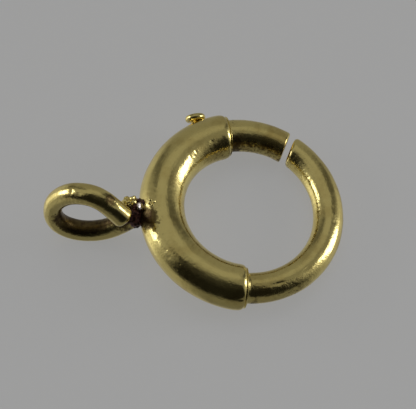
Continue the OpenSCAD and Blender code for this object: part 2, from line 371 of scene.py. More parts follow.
def worn_gold(name, brass_share, roughness):
    """Rolled gold on brass, drawn as wire and polished, then worn by years of use. The plate mirrors its
    surroundings, and wear breaks the mirror with fine scratches, dull patches and pits."""
    material, tree, shader = new_material(name)
    colours = finish()
    place = add_node(tree, "ShaderNodeTexCoord").outputs["Object"]
    wrap = add_node(tree, "ShaderNodeUVMap", {"uv_map": "wire"}).outputs["UV"]
    film = add_node(tree, "ShaderNodeAttribute", {"attribute_name": "tarnish_and_painted_shade"}).outputs["Fac"]
    scuff = add_node(tree, "ShaderNodeAttribute", {"attribute_name": "scuff"}).outputs["Fac"]

    # Width of each pattern in millimetres, its detail and its roughness. Grit is finer on the real one,
    # and is as coarse here as it needs to be to show
    patterns = {"cloud": (1.5, 4.0, 0.6), "crumb": (0.2, 5.0, 0.65), "haze": (0.35, 3.0, 0.6),
                "grit": (0.2, 1.0, 0.6)}
    noises = {}
    for key, (wide, detail, rough) in patterns.items():
        noises[key] = add_node(tree, "ShaderNodeTexNoise", {}, {
            "Vector": place, "Scale": 1 / (wide * MM), "Detail": detail,
            "Roughness": rough}).outputs["Fac"]

    # Thin plate shows the brass under it in cloudy patches
    worn = add_node(tree, "ShaderNodeMapRange", {"interpolation_type": "SMOOTHSTEP"}, {
        "Value": noises["cloud"], "From Min": 0.42, "From Max": 0.68,
        "To Max": brass_share}).outputs["Result"]
    plate = add_node(tree, "ShaderNodeMix", {"data_type": "RGBA"}, {
        "Factor": worn, "A": rgba(colours.gold), "B": rgba(colours.brass)}).outputs["Result"]

    # Tarnish keeps to the joints, and its edge is broken up by crumbs. The same film also lays painted
    # shade and painted reflections of dark parts on the sleeve, arm, tongue, eye and lug, where they dim
    # reflected light
    broken = add_node(tree, "ShaderNodeMath", {"operation": "MULTIPLY_ADD"}, {
        0: noises["crumb"], 1: 2.0, 2: -1.0}).outputs[0]
    ragged = add_node(tree, "ShaderNodeMath", {"operation": "ADD"}, {0: film, 1: broken}).outputs[0]
    stain_and_painted_shade = add_node(tree, "ShaderNodeMapRange", {"interpolation_type": "SMOOTHSTEP"}, {
        "Value": ragged, "From Min": 0.32, "From Max": 0.9, "To Max": 0.88}).outputs["Result"]
    tarnished_and_shaded_plate = add_node(tree, "ShaderNodeMix", {"data_type": "RGBA"}, {
        "Factor": stain_and_painted_shade, "A": plate, "B": rgba(colours.tarnish_and_painted_shade)}).outputs["Result"]
    # Past 1 the film turns the plate nearly black: mostly painted shade and painted reflection of the dark
    # solder, beside the eye's root and inside the eye
    scorch_and_painted_shade = add_node(tree, "ShaderNodeMapRange", {"interpolation_type": "SMOOTHSTEP"}, {
        "Value": ragged, "From Min": 1.0, "From Max": 1.6, "To Max": 0.85}).outputs["Result"]
    tree.links.new(add_node(tree, "ShaderNodeMix", {"data_type": "RGBA"}, {
        "Factor": scorch_and_painted_shade, "A": tarnished_and_shaded_plate, "B": rgba(colours.solder, 0.2)}).outputs["Result"],
        shader.inputs["Base Color"])

    # Dull patches a third of a millimetre wide, and duller still under the tarnish and the painted shade
    dull = add_node(tree, "ShaderNodeMapRange", {}, {
        "Value": noises["haze"], "From Min": 0.3, "From Max": 0.75,
        "To Min": roughness * 0.7, "To Max": roughness * 1.7}).outputs["Result"]
    dimmed = add_node(tree, "ShaderNodeMath", {"operation": "MULTIPLY_ADD"}, {
        0: stain_and_painted_shade, 1: 0.20, 2: dull}).outputs[0]
    tree.links.new(add_node(tree, "ShaderNodeMath", {"operation": "MULTIPLY_ADD"}, {
        0: scuff, 1: 0.05, 2: dimmed}).outputs[0], shader.inputs["Roughness"])

    # Scratches run mostly with the wire; real ones are finer, and these are coarse enough to show
    drawn = add_node(tree, "ShaderNodeMapping", {}, {
        "Vector": wrap, "Scale": (1.3, 8.0, 1.0), "Rotation": (0, 0, 0.09)}).outputs["Vector"]
    scratch = add_node(tree, "ShaderNodeTexNoise", {}, {
        "Vector": drawn, "Scale": 1.0, "Detail": 1.0, "Roughness": 0.7}).outputs["Fac"]
    pits = add_node(tree, "ShaderNodeTexVoronoi", {"feature": "F1"}, {
        "Vector": place, "Scale": 1 / (0.42 * MM), "Randomness": 1.0}).outputs["Distance"]
    pit = add_node(tree, "ShaderNodeMapRange", {"interpolation_type": "SMOOTHSTEP"}, {
        "Value": pits, "From Min": 0.05, "From Max": 0.17}).outputs["Result"]
    lines = add_node(tree, "ShaderNodeBump", {}, {
        "Height": scratch, "Strength": 0.8, "Distance": 0.007 * MM}).outputs["Normal"]
    rubbed = add_node(tree, "ShaderNodeMath", {"operation": "MULTIPLY_ADD"}, {
        0: scuff, 1: 0.55, 2: 0.28}).outputs[0]
    grain = add_node(tree, "ShaderNodeBump", {}, {
        "Height": noises["grit"], "Strength": rubbed, "Distance": 0.026 * MM,
        "Normal": lines}).outputs["Normal"]
    tree.links.new(add_node(tree, "ShaderNodeBump", {}, {
        "Height": pit, "Strength": 0.25, "Distance": 0.02 * MM, "Normal": grain}).outputs["Normal"],
        shader.inputs["Normal"])
    shader.inputs["Metallic"].default_value = 1.0
    return material


def silver_solder(name):
    """Silver solder left as it froze, under a coppery brown oxide film with bare bright grains."""
    material, tree, shader = new_material(name)
    colours = finish()
    place = add_node(tree, "ShaderNodeTexCoord").outputs["Object"]
    film = add_node(tree, "ShaderNodeAttribute", {"attribute_name": "tarnish_and_painted_shade"}).outputs["Fac"]
    grains = add_node(tree, "ShaderNodeTexNoise", {}, {
        "Vector": place, "Scale": 1 / (0.15 * MM), "Detail": 2.0, "Roughness": 0.6}).outputs["Fac"]
    shift = add_node(tree, "ShaderNodeMath", {"operation": "SUBTRACT"}, {
        0: grains, 1: 0.5}).outputs[0]
    cover = add_node(tree, "ShaderNodeMath", {"operation": "ADD"}, {0: film, 1: shift}).outputs[0]
    mask = add_node(tree, "ShaderNodeMapRange", {"interpolation_type": "SMOOTHSTEP"}, {
        "Value": cover, "From Min": 0.3, "From Max": 0.6}).outputs["Result"]
    patchy = add_node(tree, "ShaderNodeMapRange", {"interpolation_type": "SMOOTHSTEP"}, {
        "Value": grains, "From Min": 0.4, "From Max": 0.62}).outputs["Result"]
    brown = add_node(tree, "ShaderNodeMix", {"data_type": "RGBA"}, {
        "Factor": patchy, "A": rgba(colours.solder, 0.2),
        "B": rgba(colours.solder)}).outputs["Result"]
    silvery = add_node(tree, "ShaderNodeMapRange", {}, {
        "Value": film, "From Min": -0.3, "From Max": -0.9}).outputs["Result"]
    bare = add_node(tree, "ShaderNodeMix", {"data_type": "RGBA"}, {
        "Factor": silvery, "A": rgba(colours.gold), "B": rgba(colours.silver)}).outputs["Result"]
    tree.links.new(add_node(tree, "ShaderNodeMix", {"data_type": "RGBA"}, {
        "Factor": mask, "A": bare, "B": brown}).outputs["Result"], shader.inputs["Base Color"])
    tree.links.new(add_node(tree, "ShaderNodeMapRange", {}, {
        "Value": mask, "To Min": 0.10, "To Max": 0.34}).outputs["Result"], shader.inputs["Roughness"])
    tree.links.new(add_node(tree, "ShaderNodeMapRange", {}, {
        "Value": mask, "To Min": 1.0, "To Max": 0.55}).outputs["Result"], shader.inputs["Metallic"])
    tree.links.new(add_node(tree, "ShaderNodeBump", {}, {
        "Height": grains, "Strength": 1.0, "Distance": 0.03 * MM}).outputs["Normal"],
        shader.inputs["Normal"])
    return material


def spring_steel(name):
    """Drawn steel wire, coiled cold: grey, with a dark oily film in places."""
    material, tree, shader = new_material(name)
    place = add_node(tree, "ShaderNodeTexCoord").outputs["Object"]
    colours = finish()
    film = add_node(tree, "ShaderNodeTexNoise", {}, {
        "Vector": place, "Scale": 1 / (0.3 * MM), "Detail": 4.0}).outputs["Fac"]
    tree.links.new(add_node(tree, "ShaderNodeMix", {"data_type": "RGBA"}, {
        "Factor": film, "A": rgba(colours.steel), "B": rgba(colours.tarnish_and_painted_shade)}).outputs["Result"],
        shader.inputs["Base Color"])
    tree.links.new(add_node(tree, "ShaderNodeMapRange", {}, {
        "Value": film, "To Min": 0.25, "To Max": 0.5}).outputs["Result"], shader.inputs["Roughness"])
    shader.inputs["Metallic"].default_value = 1.0
    return material


def opal_sheet(name):
    """Grey opal acrylic lit faintly from below: an even satin sheet that keeps shadows weak."""
    material, tree, shader = new_material(name)
    colours = finish()
    place = add_node(tree, "ShaderNodeTexCoord").outputs["Object"]
    fibre = add_node(tree, "ShaderNodeTexNoise", {}, {
        "Vector": place, "Scale": 1 / (0.8 * MM), "Detail": 4.0, "Roughness": 0.7}).outputs["Fac"]
    tone = add_node(tree, "ShaderNodeMapRange", {}, {
        "Value": fibre, "From Min": 0.3, "From Max": 0.7, "To Min": 0.975}).outputs["Result"]
    tree.links.new(add_node(tree, "ShaderNodeMix", {"data_type": "RGBA", "blend_type": "MULTIPLY"}, {
        "Factor": 1.0, "A": rgba(colours.table), "B": tone}).outputs["Result"],
        shader.inputs["Base Color"])
    shader.inputs["Roughness"].default_value = 0.42
    shader.inputs["Emission Color"].default_value = rgba(colours.glow)
    shader.inputs["Emission Strength"].default_value = colours.glow_level
    return material


def gold_finish():
    """Plate that wear and the polishing cloth keep bright."""
    name = "polished_gold_plate"
    return bpy.data.materials.get(name) or worn_gold(name, brass_share=0.55, roughness=0.15)


def tongue_finish():
    """Plate that sliding in the sleeve has rubbed thinner and duller."""
    name = "rubbed_gold_plate"
    return bpy.data.materials.get(name) or worn_gold(name, brass_share=0.9, roughness=0.17)


# Tarnish, painted shade and painted reflection, and rubbing, as amounts at each point that the materials
# read

# Patch on the sleeve beside the eye's root, brown tarnish and a painted reflection of the dark solder and
# eye: angle round the ring, side round the wire, its reaches along and across, and the angle of the root
PATCH = {"at": 188.8, "side": 47, "long": 7.2, "wide": 25, "root": 184}


def outside_of(points):
    """How far points of the flat drawing lie outside the ring's centreline."""
    return np.hypot(points[..., 0], points[..., 1]) - sizes().ring_r


def near_angle(points, angle_at, reach):
    """1 at an angle of the ring, fading to 0 at about twice the reach along it."""
    angles = np.arctan2(points[..., 1], points[..., 0]) % (2 * pi)
    away = np.abs((angles - angle_at + pi) % (2 * pi) - pi) * sizes().ring_r
    return np.exp(-(away / reach) ** 2)


def joint_tarnish_and_painted_reflection(points):
    """Brown tarnish by the eye's root, where the cloth never reached, and a painted reflection of the dark
    solder beside it.
    """
    turn = np.degrees(np.arctan2(points[..., 1], points[..., 0])) % 360
    side = np.degrees(np.arctan2(points[..., 2], outside_of(points)))
    away = (turn - PATCH["at"]) / PATCH["long"]
    across = (side - PATCH["side"]) / PATCH["wide"]
    root = on_ring(radians(PATCH["root"]), sizes().sleeve_r, 0.1 * MM)
    # The patch along the sleeve is painted reflection of the dark solder and eye over brown tarnish; the
    # spot at the root is tarnish
    return 1.25 * np.exp(-away ** 4 - across ** 2) + near(points, root, 0.75 * MM)


def rubbed_inside(points):
    """Where a wire of the ring is rubbed dull by the links that hang in it: on its side to the middle."""
    return 1.1 * ramp(-outside_of(points), 0.55 * MM, 0.85 * MM)


# Pieces

# Profile of a rolled end of the sleeve: distance in from the end, and radius, from the bore to the body
LIP = [
    {"inward": 0.14, "radius": 1.100},
    {"inward": 0.05, "radius": 1.106},
    {"inward": 0.00, "radius": 1.135},
    {"inward": 0.00, "radius": 1.215},
    {"inward": 0.03, "radius": 1.268},
    {"inward": 0.07, "radius": 1.262},
    {"inward": 0.10, "radius": 1.235},
    {"inward": 0.13, "radius": 1.285},
    {"inward": 0.20, "radius": 1.350},
    {"inward": 0.34, "radius": 1.410},
    {"inward": 0.58, "radius": 1.435},
]

# Nicks in the sleeve: angle round the ring, side round the wire, reach along and across it, and depth
NICKS = [
    {"at": 114.8, "side": 118, "long": 0.13, "wide": 0.09, "deep": 0.020},
    {"at": 117.2, "side": 115, "long": 0.09, "wide": 0.08, "deep": -0.008},
    {"at": 124.0, "side": 121, "long": 0.55, "wide": 0.09, "deep": 0.006},
    {"at": 130.6, "side": 119, "long": 0.08, "wide": 0.12, "deep": 0.018},
    {"at": 133.4, "side": 125, "long": 0.10, "wide": 0.09, "deep": 0.014},
    {"at": 137.2, "side": 121, "long": 0.09, "wide": 0.15, "deep": 0.015},
    {"at": 143.0, "side": 127, "long": 0.30, "wide": 0.07, "deep": 0.005},
    {"at": 150.5, "side": 98, "long": 0.40, "wide": 0.08, "deep": 0.005},
    {"at": 199.5, "side": 41, "long": 0.10, "wide": 0.09, "deep": 0.010},
    {"at": 203.0, "side": 50, "long": 0.08, "wide": 0.12, "deep": 0.013},
    {"at": 206.5, "side": 44, "long": 0.12, "wide": 0.08, "deep": -0.009},
    {"at": 210.5, "side": 49, "long": 0.09, "wide": 0.10, "deep": 0.012},
    {"at": 215.0, "side": 43, "long": 0.12, "wide": 0.09, "deep": 0.008},
    {"at": 235.2, "side": 55, "long": 0.07, "wide": 0.07, "deep": 0.014},
    {"at": 256.2, "side": 38, "long": 0.10, "wide": 0.10, "deep": 0.030},
    {"at": 262.0, "side": 33, "long": 0.12, "wide": 0.10, "deep": 0.018},
]


def level_rows(start, end, count, radius):
    """Rows of the sleeve's wall at one radius, evenly spaced between two distances round the ring."""
    at = np.linspace(start, end, count + 2)[1:-1]
    return np.stack([at, np.full(count, radius)], axis=-1)


def slot_outline():
    """Half of the slot's outline, from one round end to the other, as the middle that each point
    stands off from, and the share of the half width that it stands off ahead and aside."""
    s = sizes()
    bend, straight = 15, 60
    first = s.slot_start * (s.ring_r + s.sleeve_r)
    last = (s.slot_start + s.slot_length) * (s.ring_r + s.sleeve_r)
    middle = np.concatenate([np.full(bend, first), np.linspace(first, last, straight + 2)[1:-1],
                             np.full(bend, last)])
    facing = np.concatenate([np.linspace(pi, pi / 2, bend), np.full(straight, pi / 2),
                             np.linspace(pi / 2, 0, bend)])
    aside = np.clip(np.sin(facing), 0, None)
    aside[[0, -1]] = 0
    return middle, np.cos(facing), aside


def sleeve_shell():
    """The hollow sleeve with its rolled ends and the lug's slot, as one closed wall."""
    s = sizes()
    columns = 176
    outside = s.ring_r + s.sleeve_r
    body, bore = s.sleeve_r, s.bore_r
    edge = 0.06 * MM
    middle, ahead, aside = slot_outline()
    rim = (middle + (s.slot_r + edge) * ahead) * s.ring_r / outside
    rim_aside = (s.slot_r + edge) * aside

    # Rows of the wall's section, outside first, then round the far lip, inside, and round the near lip
    lip = smooth_path(np.array([[p["inward"], p["radius"]] for p in LIP]) * MM, 44)
    start, end = s.sleeve_start * s.ring_r, s.sleeve_end * s.ring_r
    first_lip = np.stack([start + lip[:, 0], lip[:, 1]], axis=-1)
    last_lip = np.stack([end - lip[::-1, 0], lip[::-1, 1]], axis=-1)
    sections = [
        first_lip,
        level_rows(start + lip[-1, 0], rim[0], 10, body),
        np.stack([rim, np.full(len(rim), body)], axis=-1),
        level_rows(rim[-1], end - lip[-1, 0], 148, body),
        last_lip,
        level_rows(rim[-1], end - lip[0, 0], 58, bore)[::-1],
        np.stack([rim[::-1], np.full(len(rim), bore)], axis=-1),
        level_rows(start + lip[0, 0], rim[0], 8, bore)[::-1],
        first_lip[:1],
    ]
    rows = np.concatenate(sections)
    outer_at = sum(len(part) for part in sections[:2])
    inner_at = sum(len(part) for part in sections[:6])
    open_half = np.zeros(len(rows))
    open_half[outer_at:outer_at + len(rim)] = np.arcsin(rim_aside / body)
    open_half[inner_at:inner_at + len(rim)] = np.arcsin(rim_aside[::-1] / bore)
    share = np.linspace(0, 1, columns + 1)
    around = open_half[:, None] + (2 * pi - 2 * open_half[:, None]) * share[None, :]
    angles = (rows[:, 0] / s.ring_r)[:, None]
    radius = rows[:, 1][:, None]

    # Swells, dents and nicks, on the outside alone and clear of the slot
    flat = on_ring(angles, radius * np.cos(around), radius * np.sin(around))
    depth = wear(flat, 0.012 * MM, 1.4 * MM, 0.004 * MM, 0.45 * MM)
    for nick in NICKS:
        reach = (angles - radians(nick["at"])) * s.ring_r / (nick["long"] * MM)
        across = (around - radians(nick["side"])) * s.sleeve_r / (nick["wide"] * MM)
        depth -= nick["deep"] * MM * np.exp(-reach ** 2 - across ** 2)
    past_slot = angles > s.slot_start + s.slot_length + 0.15
    beside_slot = ramp(np.abs((around + pi) % (2 * pi) - pi), 0.45, 0.8)
    depth *= (radius > body - 0.1 * MM) * np.maximum(beside_slot, past_slot)
    radius = radius + depth
    points = on_ring(angles, radius * np.cos(around), radius * np.sin(around)).reshape(-1, 3)
    along = np.stack(np.broadcast_arrays(rows[:, 0][:, None] / MM, around * s.sleeve_r / MM), axis=-1)
    along = along.reshape(-1, 2)
    faces = quads(len(rows), columns + 1)

    # Walls of the slot: half width and radius of each line, round the outer edge and down to the bore
    soften = np.linspace(0, pi / 2, 6)[1:]
    lines = [(s.slot_r + edge * (1 - sin(t)), body - edge * (1 - cos(t))) for t in soften]
    lines.append((s.slot_r, bore + edge))
    count = len(rim)
    for mirror, column in ((1, 0), (-1, columns)):
        previous = [(outer_at + k) * (columns + 1) + column for k in range(count)]
        bottom = [(inner_at + count - 1 - k) * (columns + 1) + column for k in range(count)]
        for half, line_radius in lines:
            place, off = middle + half * ahead, half * aside
            new = on_ring(place / outside, np.sqrt(line_radius ** 2 - off ** 2), mirror * off)
            ids = list(range(len(points), len(points) + count))
            points = np.concatenate([points, new])
            along = np.concatenate([along, np.stack([place / MM, off / MM], axis=-1)])
            faces += [(previous[k], previous[k + 1], ids[k + 1], ids[k]) for k in range(count - 1)]
            previous = ids
        faces += [(ids[k], ids[k + 1], bottom[k + 1], bottom[k]) for k in range(count - 1)]

    # Film at the joints and in the bore, the patch at the eye's root (part painted reflection), and near
    # the tongue brown film with painted shade on the inner side, most along a line where it dims a
    # reflected line of light
    inward = ramp(-outside_of(points), 0.9 * MM, 1.3 * MM)
    # Painted shade along this height of the inner side, laid over a reflected line of light
    line = np.exp(-((points[:, 2] - 0.74 * MM) / (0.25 * MM)) ** 2)
    film = joint_tarnish_and_painted_reflection(points)
    film += 0.35 * near_angle(points, s.sleeve_start, 0.2 * MM)
    film += 0.25 * near_angle(points, s.sleeve_end, 0.2 * MM)
    film += 0.7 * (np.hypot(outside_of(points), points[:, 2]) < bore + 0.02 * MM)
    film += inward * (0.45 + 0.3 * line) * near_angle(points, s.sleeve_start, 2.4 * MM)
    return new_piece("ring_sleeve", points, faces, gold_finish(), along, film, 0.9 * inward)


class CLASP_OT_sleeve(bpy.types.Operator):
    """Make the hollow sleeve with its rolled ends and the slot for the lug"""
    bl_idname = "clasp.sleeve"
    bl_label = "Sleeve"

    def execute(self, context):
        settle(sleeve_shell(), "clasp_body", "sleeve")
        return {"FINISHED"}


# Marks on the arm: distance from its tip, side round the wire in degrees, reach along and across, depth
ARM_MARKS = [
    {"at": 5.2, "side": 97, "long": 0.12, "wide": 6, "deep": 0.016},
    {"at": 5.7, "side": 101, "long": 0.10, "wide": 5, "deep": -0.012},
    {"at": 6.2, "side": 107, "long": 0.12, "wide": 5, "deep": 0.016},
    {"at": 9.9, "side": 105, "long": 0.30, "wide": 5, "deep": 0.026},
    {"at": 11.9, "side": 109, "long": 0.42, "wide": 5, "deep": 0.045},
    {"at": 13.3, "side": 113, "long": 0.08, "wide": 6, "deep": 0.014},
]


class CLASP_OT_ring_wires(bpy.types.Operator):
    """Make the fixed arm and the sliding tongue"""
    bl_idname = "clasp.ring_wires"
    bl_label = "Arm and tongue"

    def execute(self, context):
        s = sizes()
        sweep = np.linspace(s.arm_tip, s.arm_inner - 2 * pi, 400)
        mouth = (s.arm_tip - (s.sleeve_end - 2 * pi)) * s.ring_r

        def arm_radius(at):
            """Even, but for a low collar just outside the sleeve."""
            collar_at, collar_reach, collar_height = mouth - 0.05 * MM, 0.10 * MM, 0.07 * MM
            return s.arm_r + collar_height * np.exp(-((at - collar_at) / collar_reach) ** 4)

        # How far past the sleeve's end, in radians, the collar's film and the scuffed stretch lie
        collar_past, streak_past = 0.075, 0.5

        def arm_streak(points):
            """A scuffed and dirty stretch of the arm's outer side."""
            streak = near_angle(points, s.sleeve_end + streak_past, 1.7 * MM)
            return streak * ramp(outside_of(points), 0, 0.6 * MM)

        def arm_tarnish_and_painted_shade(points):
            """Film round the collar, mostly low down, along the streak, and inside near the tip, where it
            is also painted shade over reflected light.
            """
            collar = near_angle(points, s.sleeve_end + collar_past, 0.22 * MM)
            low = 1 - ramp(points[..., 2], -0.2 * MM, 0.75 * MM)
            # Inside near the tip: brown film and painted shade that dims a reflected line of light
            tip = near_angle(points, s.arm_tip, 1.3 * MM)
            tip *= ramp(-outside_of(points), 0.3 * MM, 0.8 * MM)
            return collar * (0.25 + 0.45 * low) + 0.4 * arm_streak(points) + 0.6 * tip

        def arm_scuff(points):
            """Rubbed inside, more so near the tip, and along the streak."""
            tip = near_angle(points, s.arm_tip, 2.2 * MM)
            return rubbed_inside(points) * (0.75 + 0.2 * tip) + 0.9 * arm_streak(points)

        arm = wire("arm_wire", on_ring(sweep, 0, 0), UP, arm_radius, gold_finish(),
                   rounds=(0.26, 0.1), wear_depth=(0.016, 0.004), tarnish_and_painted_shade=arm_tarnish_and_painted_shade, scuff=arm_scuff,
                   marks=ARM_MARKS, slant=s.arm_slant)
        settle(arm, "clasp_body", "fixed_arm")

        sweep = np.linspace(s.tongue_tip, s.tongue_tail, 200)
        span = (s.sleeve_start - s.tongue_tip) * s.ring_r

        def tongue_radius(at):
            """Thinner towards the worn tip."""
            return s.tongue_tip_r + (s.tongue_r - s.tongue_tip_r) * ramp(at, 0.2 * MM, span)

        def tongue_tarnish_and_painted_shade(points):
            """Film where the tongue leaves the sleeve, with a painted shadow on its outer side there, and
            brown film with painted shade along its inner side, most in a line over reflected light.
            """
            inward = ramp(-outside_of(points), 0.2 * MM, 0.7 * MM)
            outer = ramp(outside_of(points), 0.8 * MM, 1.0 * MM)
            # Painted shade in a line along the inner side, laid over a reflected line of light
            line = np.exp(-((points[..., 2] - 0.52 * MM) / (0.18 * MM)) ** 2)
            # At the sleeve's mouth: tarnish, and on the outer side a painted shadow line where the tongue
            # goes in
            mouth_rim = near_angle(points, s.sleeve_start - 0.05, 0.42 * MM)
            return mouth_rim * (0.3 + 0.2 * inward + 0.6 * outer) + inward * (0.52 + 0.3 * line)

        tongue = wire("tongue_wire", on_ring(sweep, 0, 0), UP, tongue_radius, tongue_finish(),
                      rounds=(0.15, 0.08), wear_depth=(0.012, 0.005), tarnish_and_painted_shade=tongue_tarnish_and_painted_shade,
                      scuff=rubbed_inside, slant=s.tongue_slant)
        settle(tongue, "tongue_slider", "tongue")
        return {"FINISHED"}


# Centreline of the eye's wire, from the free end over the loop and round to the root in the sleeve's wall.
# The free half bows aside, so that its end passes over the root.
EYE_PATH = [
    {"towards_ring": 2.63, "aside": -1.09, "up": 1.40},
    {"towards_ring": 1.17, "aside": -0.72, "up": 2.36},
    {"towards_ring": 0.08, "aside": -0.44, "up": 2.44},
    {"towards_ring": -0.91, "aside": -0.19, "up": 1.92},
    {"towards_ring": -1.64, "aside": -0.03, "up": 0.99},
    {"towards_ring": -1.92, "aside": 0.00, "up": -0.13},
    {"towards_ring": -1.65, "aside": 0.02, "up": -1.27},
    {"towards_ring": -0.80, "aside": 0.09, "up": -2.03},
    {"towards_ring": 0.53, "aside": 0.20, "up": -2.19},
    {"towards_ring": 1.93, "aside": 0.31, "up": -1.51},
    {"towards_ring": 3.28, "aside": 0.42, "up": 0.04},
]
# Marks on the eye: distance from its free end, then as on the arm
EYE_MARKS = [
    {"at": 1.50, "side": 204, "long": 0.30, "wide": 16, "deep": 0.045},
    {"at": 1.95, "side": 196, "long": 0.20, "wide": 12, "deep": -0.020},
    {"at": 3.20, "side": 214, "long": 0.16, "wide": 12, "deep": 0.022},
    {"at": 3.62, "side": 202, "long": 0.14, "wide": 13, "deep": 0.024},
]
# Tarnish and painted shade on the eye: point of its path that it is nearest to, shift from there, reach
# and amount. The first is tarnish by the root, the second darkens the free end's underside, and the third
# is painted shade over the free end's highlight
EYE_TARNISH_AND_PAINTED_SHADE = [
    {"point": -1, "shift": (-0.75, -0.10, -0.45), "reach": 0.85, "amount": 1.2},
    {"point": 0, "shift": (0.10, 0.20, -0.30), "reach": 0.45, "amount": 0.45},
    {"point": 28, "shift": (0.40, -0.17, 0.51), "reach": 0.45, "amount": 1.2},
]


def eye_place():
    """Centreline of the eye as it was soldered on, the direction across the loop, and its middle."""
    s = sizes()
    loop = smooth_path([[p["towards_ring"], p["aside"], p["up"]] for p in EYE_PATH], 260) * MM
    turn = np.array(Euler((s.eye_lean, 0, s.eye_turn)).to_matrix())
    middle = np.array([-(s.ring_r + s.sleeve_r + s.eye_reach), 0, 0])
    return loop @ turn.T + middle, turn @ np.array([0.0, 1.0, 0.0]), middle


class CLASP_OT_eye(bpy.types.Operator):
    """Make the wire eye for the chain and the lump of solder that holds it"""
    bl_idname = "clasp.eye"
    bl_label = "Eye and solder"

    def execute(self, context):
        s = sizes()
        path, level, middle = eye_place()
        gaps = np.linalg.norm(np.diff(path, axis=0), axis=1)
        halfway = np.sum(gaps[:len(path) // 2])

        def eye_radius(at):
            """Thinner half way along, where the chain hung."""
            worn = np.exp(-((at - halfway) / (1.5 * MM)) ** 2)
            return s.eye_wire_r - (s.eye_wire_r - s.eye_worn_r) * worn

        def eye_tarnish_and_painted_shade(points):
            """Brown film and painted shade low down inside the loop, where its upper half shades it, and
            at the spots listed above.
            """
            inward = 1 - ramp(np.linalg.norm(points - middle, axis=-1), 1.75 * MM, 2.25 * MM)
            low = 1 - ramp(points[..., 2], -0.5 * MM, 0.8 * MM)
            # Painted shade low inside the loop, on top of brown film
            film = 1.1 * inward * low
            for spot in EYE_TARNISH_AND_PAINTED_SHADE:
                place = path[spot["point"]] + np.array(spot["shift"]) * MM
                film += spot["amount"] * near(points, place, spot["reach"] * MM)
            return film

        def eye_scuff(points):
            """Rubbed dull where the chain hung, and near the free end."""
            hung = 1 - ramp(points[..., 0] - path[:, 0].min(), 0.3 * MM, 2.6 * MM)
            return 0.7 * hung + 0.5 * near(points, path[21], 0.9 * MM)

        eye = wire("eye_wire", path, level, eye_radius, gold_finish(), rounds=(0.3, 0.5),
                   wear_depth=(0.014, 0.006), tarnish_and_painted_shade=eye_tarnish_and_painted_shade, scuff=eye_scuff, marks=EYE_MARKS,
                   columns=96)
        settle(eye, "clasp_body", "sleeve")
        settle(solder_lump(), "clasp_body", "sleeve")
        return {"FINISHED"}


# Knobs of the solder lump: place along, across and up from the sleeve's side, radius, share of oxide film
KNOBS = [
    {"along": -0.24, "across": -0.18, "up": 0.02, "radius": 0.58, "film": 1.0},
    {"along": -0.16, "across": -0.56, "up": -0.12, "radius": 0.46, "film": 1.0},
    {"along": -0.02, "across": 0.16, "up": 0.42, "radius": 0.48, "film": 0.9},
    {"along": -0.66, "across": 0.34, "up": 0.46, "radius": 0.38, "film": 0.1},
    {"along": -0.34, "across": 0.34, "up": 0.54, "radius": 0.36, "film": 0.3},
    {"along": 0.32, "across": 0.22, "up": 0.56, "radius": 0.30, "film": 0.8},
    {"along": -1.19, "across": -0.79, "up": 0.94, "radius": 0.42, "film": 0.9},
    {"along": -1.10, "across": -0.58, "up": 0.48, "radius": 0.42, "film": 0.9},
    {"along": -0.85, "across": -0.35, "up": -0.10, "radius": 0.45, "film": 1.0},
]
# Bare facets that mirror the lights, with the way they face; the first shows silver, the others gold
FACETS = [
    {"place": (0.04, -0.07, 0.86), "facing": (0.49, -0.25, 0.84), "radius": 0.25, "flat": 0.22},
    {"place": (-0.91, 0.33, 0.75), "facing": (-0.64, -0.17, 0.75), "radius": 0.17, "flat": 0.3},
    {"place": (-0.52, 0.44, 0.84), "facing": (-0.60, -0.14, 0.75), "radius": 0.17, "flat": 0.3},
    {"place": (-0.32, 0.48, 0.86), "facing": (0.59, -0.25, 0.77), "radius": 0.18, "flat": 0.3},
    {"place": (-0.24, 0.20, 0.88), "facing": (0.62, -0.22, 0.75), "radius": 0.15, "flat": 0.3},
    {"place": (-0.46, 0.18, 0.84), "facing": (-0.64, -0.20, 0.75), "radius": 0.14, "flat": 0.3},
]
# Specks of solder that spat on the sleeve
SPECKS = [
    {"place": (0.60, -0.02, 1.14), "radius": 0.10},
    {"place": (0.74, -0.16, 1.22), "radius": 0.08},
    {"place": (0.86, 0.02, 1.27), "radius": 0.11},
    {"place": (0.66, 0.20, 1.15), "radius": 0.10},
]
# Film values below nothing, which leave the solder bare: silver, and gold that flowed into it
BARE_SILVER, BARE_GOLD = -1.0, -0.1


